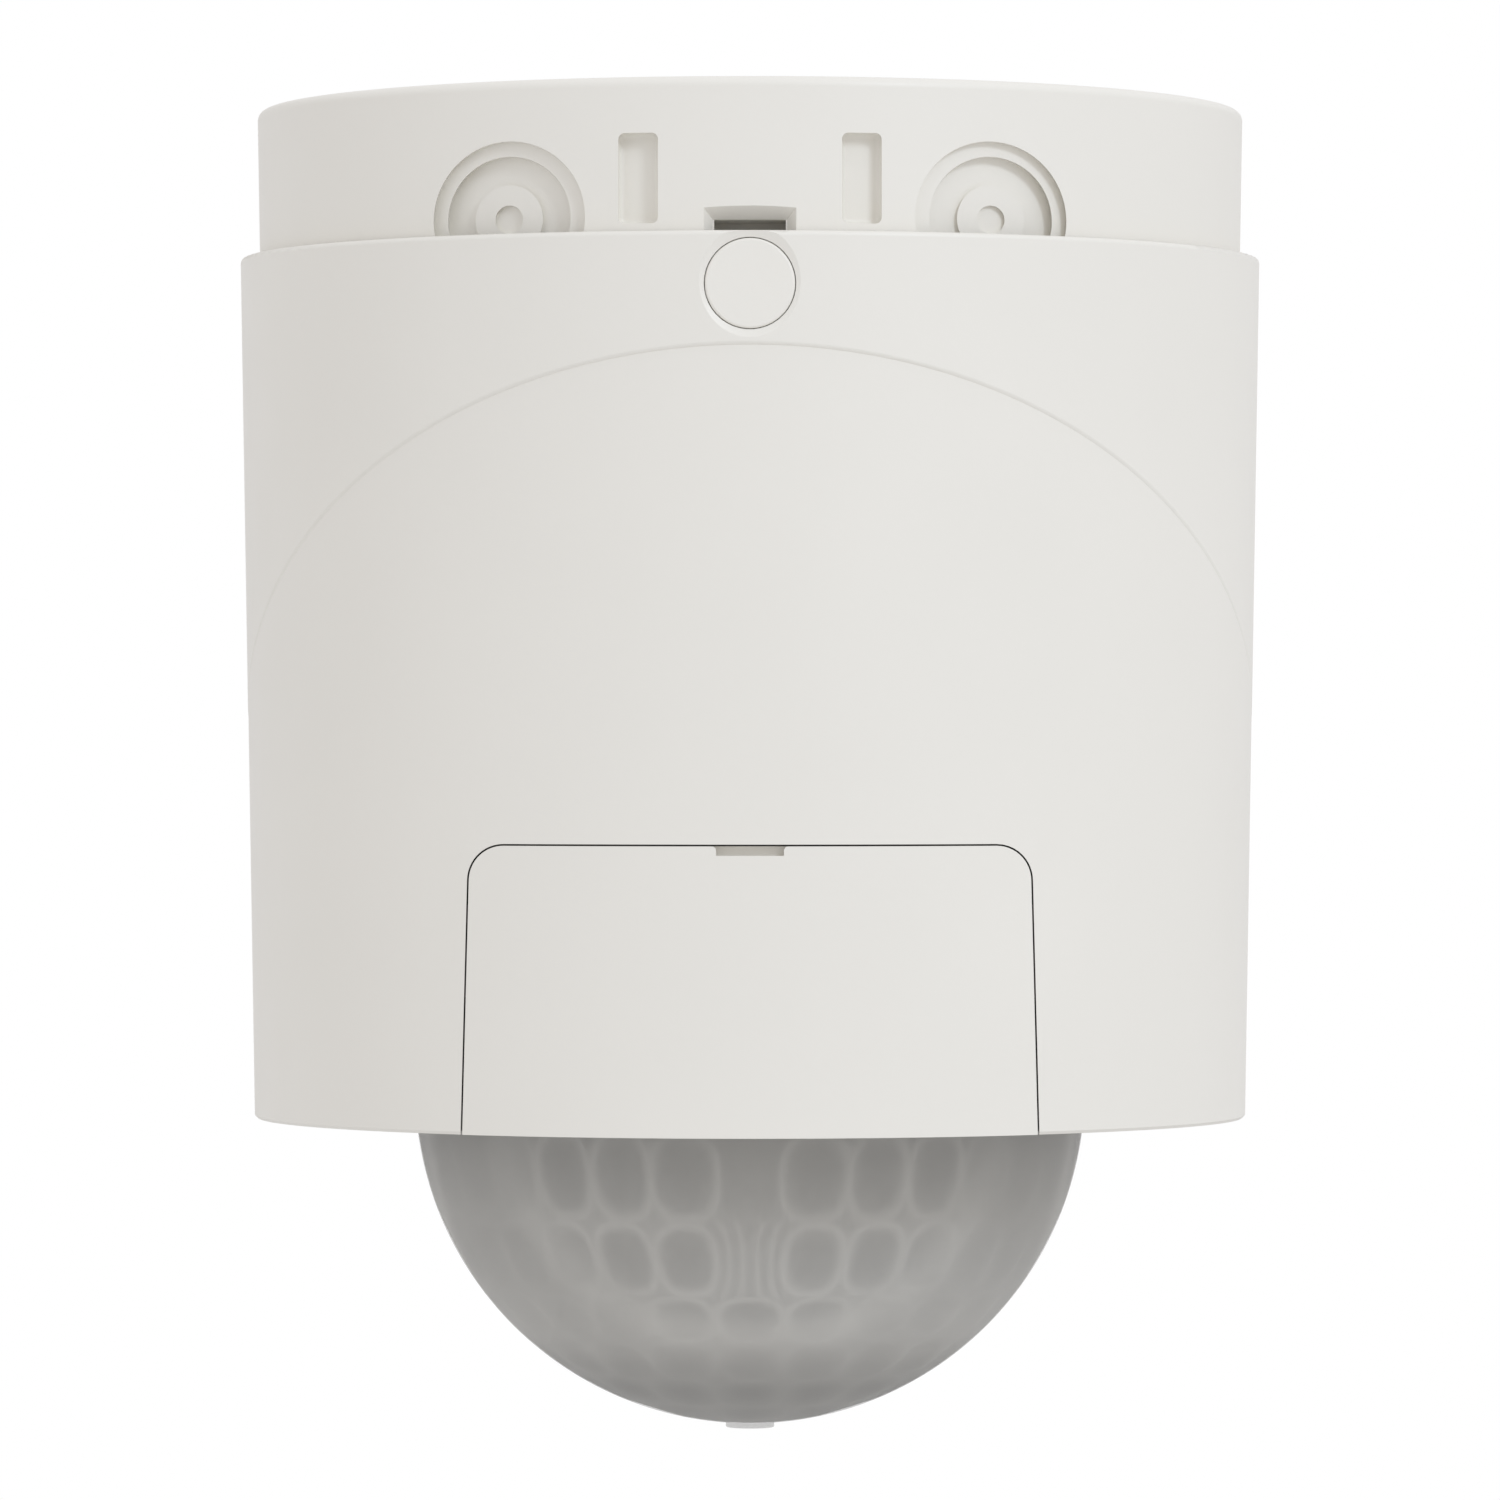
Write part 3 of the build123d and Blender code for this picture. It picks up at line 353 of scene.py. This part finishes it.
# ---- Fresnel lens dome ---------------------------------------------------------------------------
# All angles here are in degrees. A row of lens cells on the inner face lies between two angles down
# from the dome's equator, and has a number of cells round the dome.
LENS_ROWS = (
    (-10.0, 5.0, 32),
    (5.0, 20.7, 32),
    (20.7, 35.2, 30),
    (35.2, 45.7, 24),
    (45.7, 56.8, 20),
    (56.8, 67.6, 15),
    (67.6, 78.0, 9),
)
SPLIT_ROW = 2  # this row has a narrow double cell at the front
LENS_COLUMNS = 900
LENS_LINES = 230
LENS_FROM_TO = (-1.0, 84.0)
LENS_DEPTH = 0.22 * MM
RIDGE_HEIGHT = 0.05 * MM
FACET_RADIUS = 33.82 * MM

# A cell's cloudiness, with distances counted in half cells from its centre.
SQUARENESS = 2.6  # exponent of the cells' rounded-square outline
MIDDLE_CLOUD = 0.45
RIM_AT = 0.93
RIM_WIDTH = 0.15
RIM_HEIGHT = 0.48
RING_STEP = 0.43  # from the rim to the first ring line outside it, and on to the second
RING_WIDTH = 0.10
RING_HEIGHT = 0.42
WIDE_ROW = 1  # in this row the two cells beside the front one are wider and cover its edges
WIDE_CELL = 1.13
FRONT_CLOUD = 0.28
FRONT_ENDS = 0.35  # extra cloudiness at the front cell's top and bottom
FRONT_SIDES = 0.3  # and along the rims of the wide cells beside it
FRONT_SIDES_WIDTH = 0.08

# Clear and cloudy parts of the dome. A pair is the angle of the peak and the width, or start and end.
EVEN_CLOUD = 0.40
FAINT_PATTERN = 0.38  # how much of the pattern is left in the cloudy parts
ZONE_TURN = 120.0  # the lens is clear in front of each of the three sensors
ZONE_EDGE = (36.5, 45.0)  # angle from a sensor's axis over which the clear zone ends
HALO = 0.16  # the clear zone's cloudy border
HALO_AT_WIDTH = (46.0, 7.0)
BELT = 0.36  # cloudy belt round the dome where the lower rows begin
BELT_AT_WIDTH = (41.5, 5.0)
SIDE_PAINTED_SHADE = 0.3  # painted shade: the dome is a little darker between the clear zones
SIDE_PAINTED_SHADE_FROM_TO = (45.0, 54.0)
BOTTOM_PAINTED_SHADE = 0.84  # and painted shade makes it darkest at its bottom
BOTTOM_PAINTED_SHADE_FROM_TO = (41.0, 62.0)
CELL_PAINTED_SHADE = 0.45  # how much more painted shade the cell middles there get than their rims

# The outer skin.
GATE_RADIUS = 2.45 * MM
GATE_EDGE = 0.1 * MM
GATE_SIDE_TOP = 0.08 * MM
FLANGE_THICKNESS = 1.6 * MM
SKIN_THICKNESS = 0.5 * MM
SKIN_STEPS = 96


def bell(distance, at, width):
    return math.exp(-(((distance - at) / width) ** 2))


def soft_step(value, low, high):
    t = max(0.0, min(1.0, (value - low) / (high - low)))
    return t * t * (3 - 2 * t)


def cell_distance(u, v):
    return (abs(u) ** SQUARENESS + abs(v) ** SQUARENESS) ** (1 / SQUARENESS)


def nearest_cell(turn, skip_front):
    """Number of the cell that a place along a row belongs to, counted from the front."""
    cell = round(turn)
    if skip_front and cell == 0:
        return -1 if turn < 0 else 1
    return cell


def off_axis(azimuth, down):
    """Angle between a place on the dome and the axis of the nearest sensor."""
    beside = (azimuth + ZONE_TURN / 2) % ZONE_TURN - ZONE_TURN / 2
    return math.degrees(math.acos(math.cos(math.radians(down)) * math.cos(math.radians(beside))))


def ringed(d):
    """Cloudiness across one cell: clear middle, moulded rim, two faint rings outside it."""
    middle = MIDDLE_CLOUD * min(1.0, d / RIM_AT) ** 2.5
    rings = sum(RING_HEIGHT * bell(d, RIM_AT + RING_STEP * n, RING_WIDTH) for n in (1, 2))
    return middle + RIM_HEIGHT * bell(d, RIM_AT, RIM_WIDTH) + rings


def lens_point(azimuth, down):
    """Relief (0 to 1) and cloudiness (0 to 1) of the lens pattern; azimuth 0 is the front."""
    row = next((n for n, (_, high, _) in enumerate(LENS_ROWS) if down < high), None)
    if row is None:
        return 0.0, EVEN_CLOUD
    low, high, count = LENS_ROWS[row]
    v = (down - (low + high) / 2) / ((high - low) / 2)
    turn = azimuth * count / 360.0
    cell = nearest_cell(turn, row == SPLIT_ROW)
    d = cell_distance(2 * (turn - cell), v)
    cloud = ringed(d)
    if row == WIDE_ROW and abs(turn) < 1.5:
        wide = cell_distance(2 * (abs(turn) - 1) / WIDE_CELL, v)
        if wide < 1 or cell:
            d, cloud = wide, ringed(wide)
        else:
            sides = FRONT_SIDES * bell(wide, 1, FRONT_SIDES_WIDTH)
            cloud = FRONT_CLOUD + FRONT_ENDS * abs(v) ** 3 + sides
    angle = off_axis(azimuth, down)
    clear = 1 - soft_step(angle, *ZONE_EDGE)
    border = HALO * bell(angle, *HALO_AT_WIDTH) + BELT * bell(down, *BELT_AT_WIDTH)
    faint = EVEN_CLOUD + FAINT_PATTERN * (cloud - EVEN_CLOUD) + border
    relief = max(0.0, 1 - d * d) * (FAINT_PATTERN + (1 - FAINT_PATTERN) * clear)
    return relief, min(1.0, faint + (cloud - faint) * clear)


def painted_shade_amount(azimuth, down, relief):
    """How much shade is painted into the dome's colour (0 to 1)."""
    between = SIDE_PAINTED_SHADE * soft_step(off_axis(azimuth, down), *SIDE_PAINTED_SHADE_FROM_TO)
    bottom = soft_step(down, *BOTTOM_PAINTED_SHADE_FROM_TO)
    return max(between, BOTTOM_PAINTED_SHADE * bottom) + CELL_PAINTED_SHADE * bottom * relief


def lens_facets():
    """Inner face of the dome: a fine grid pushed in and out by the lens pattern."""
    columns, rows = LENS_COLUMNS, LENS_LINES
    start, stop = LENS_FROM_TO
    verts, faces, clouds, painted_shade_values = [], [], [], []
    for j in range(rows + 1):
        down = start + (stop - start) * j / rows
        for i in range(columns):
            azimuth = 360.0 * i / columns - 180.0
            relief, cloud = lens_point(azimuth, down)
            r = FACET_RADIUS - LENS_DEPTH * relief + RIDGE_HEIGHT * cloud
            a = math.radians(azimuth - 90)
            e = math.radians(down)
            verts.append((
                AXIS.x + r * math.cos(e) * math.cos(a),
                AXIS.y + r * math.cos(e) * math.sin(a),
                DOME_CENTRE_Z - r * math.sin(e),
            ))
            clouds.append(cloud)
            # painted shade for this point, darker towards the dome's sides and bottom
            painted_shade_values.append(painted_shade_amount(azimuth, down, relief))
    for j in range(rows):
        for i in range(columns):
            k = (i + 1) % columns
            here, below = j * columns, (j + 1) * columns
            faces.append((here + i, below + i, below + k, here + k))
    pole = len(verts)
    verts.append((AXIS.x, AXIS.y, DOME_CENTRE_Z - FACET_RADIUS))
    clouds.append(0.5)
    # the bottom point gets the full painted shade
    painted_shade_values.append(1.0)
    for i in range(columns):
        faces.append((rows * columns + i, pole, rows * columns + (i + 1) % columns))
    mesh = bpy.data.meshes.new("lens_facets")
    mesh.from_pydata(verts, [], faces)
    # cloudiness and painted shade go onto the points as attributes
    for name, values in (("cloud", clouds), ("painted_shade", painted_shade_values)):
        layer = mesh.attributes.new(name, "FLOAT", "POINT")
        layer.data.foreach_set("value", values)
    smooth(mesh, 60)
    return new_object("lens_facets", mesh)


def revolved(name, profile, segments=192):
    """Surface from (radius, height) points turned round the dome's axis."""
    verts, faces = [], []
    for r, z in profile:
        for i in range(segments):
            a = 2 * math.pi * i / segments
            verts.append((AXIS.x + r * math.cos(a), AXIS.y + r * math.sin(a), z))
    for j in range(len(profile) - 1):
        for i in range(segments):
            k = (i + 1) % segments
            here, after = j * segments, (j + 1) * segments
            faces.append((here + i, here + k, after + k, after + i))
    mesh = bpy.data.meshes.new(name)
    mesh.from_pydata(verts, [], faces)
    tidy_normals(mesh)
    smooth(mesh)
    return new_object(name, mesh)


def lens_shell():
    """Smooth outer skin of the dome with its flange and the small moulding gate at the bottom."""
    flange = (DOME_HIGH.x - DOME_LOW.x) / 2
    top = DOME_HIGH.z
    seat = top - FLANGE_THICKNESS
    profile = [(DOME_RADIUS - SKIN_THICKNESS, top), (flange, top), (flange, seat), (DOME_RADIUS, seat)]
    start = math.asin((DOME_CENTRE_Z - seat) / DOME_RADIUS)
    stop = math.acos(GATE_RADIUS / DOME_RADIUS)
    for n in range(1, SKIN_STEPS + 1):
        e = start + (stop - start) * n / SKIN_STEPS
        profile.append((DOME_RADIUS * math.cos(e), DOME_CENTRE_Z - DOME_RADIUS * math.sin(e)))
    profile += [
        (GATE_RADIUS, DOME_LOW.z + GATE_SIDE_TOP), (GATE_RADIUS - GATE_EDGE, DOME_LOW.z),
        (0.02 * MM, DOME_LOW.z),
    ]
    return revolved("lens_shell", profile)


def milky(name, alpha, colour, roughness):
    """Thin milky plastic that the layer under it shows through."""
    made, tree, shader = start_material(name)
    cloud = spread(tree, noise(tree, MILK_SCALE, 3.0), 0, 1)
    link(tree, blend_colours(tree, cloud, shade(colour, 0.97), shade(colour, 1.02)),
         shader.inputs["Base Color"])
    gloss = spread(tree, noise(tree, MILK_GLOSS_SCALE, 3.0), roughness - 0.04, roughness + 0.04)
    link(tree, gloss, shader.inputs["Roughness"])
    fine = bump(tree, noise(tree, MILK_GRAIN_SCALE, 2.0), 0.01 * MM, 0.5)
    link(tree, fine, shader.inputs["Normal"])
    shader.inputs["Alpha"].default_value = alpha
    return made


def facet_material():
    """Lens cells: clearer in the middle, cloudy along the moulded rims, darker where shade is painted
    in.
    """
    made, tree, shader = start_material("lens_cells")
    cloud = tree.nodes.new("ShaderNodeAttribute")
    cloud.attribute_name = "cloud"
    painted_shade = tree.nodes.new("ShaderNodeAttribute")
    painted_shade.attribute_name = "painted_shade"
    # painted shade: the base colour darkens towards the dome's sides and bottom
    link(tree, blend_colours(tree, painted_shade.outputs["Fac"], (0.86, 0.843, 0.80), (0.43, 0.421, 0.402)),
         shader.inputs["Base Color"])
    link(tree, spread(tree, cloud.outputs["Fac"], 0.38, 0.11, (0.0, 1.0)),
         shader.inputs["Transmission Weight"])
    shader.inputs["Roughness"].default_value = 0.42
    shader.inputs["IOR"].default_value = 1.12
    shader.inputs["Specular IOR Level"].default_value = 0.2
    return made


shell = lens_shell()
shell.data.materials.append(milky("lens_milky", 0.34, (0.445, 0.436, 0.414), 0.32))
facets = lens_facets()
facets.data.materials.append(facet_material())
for piece in (shell, facets):
    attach(piece, "front_unit")
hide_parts("lens_dome")
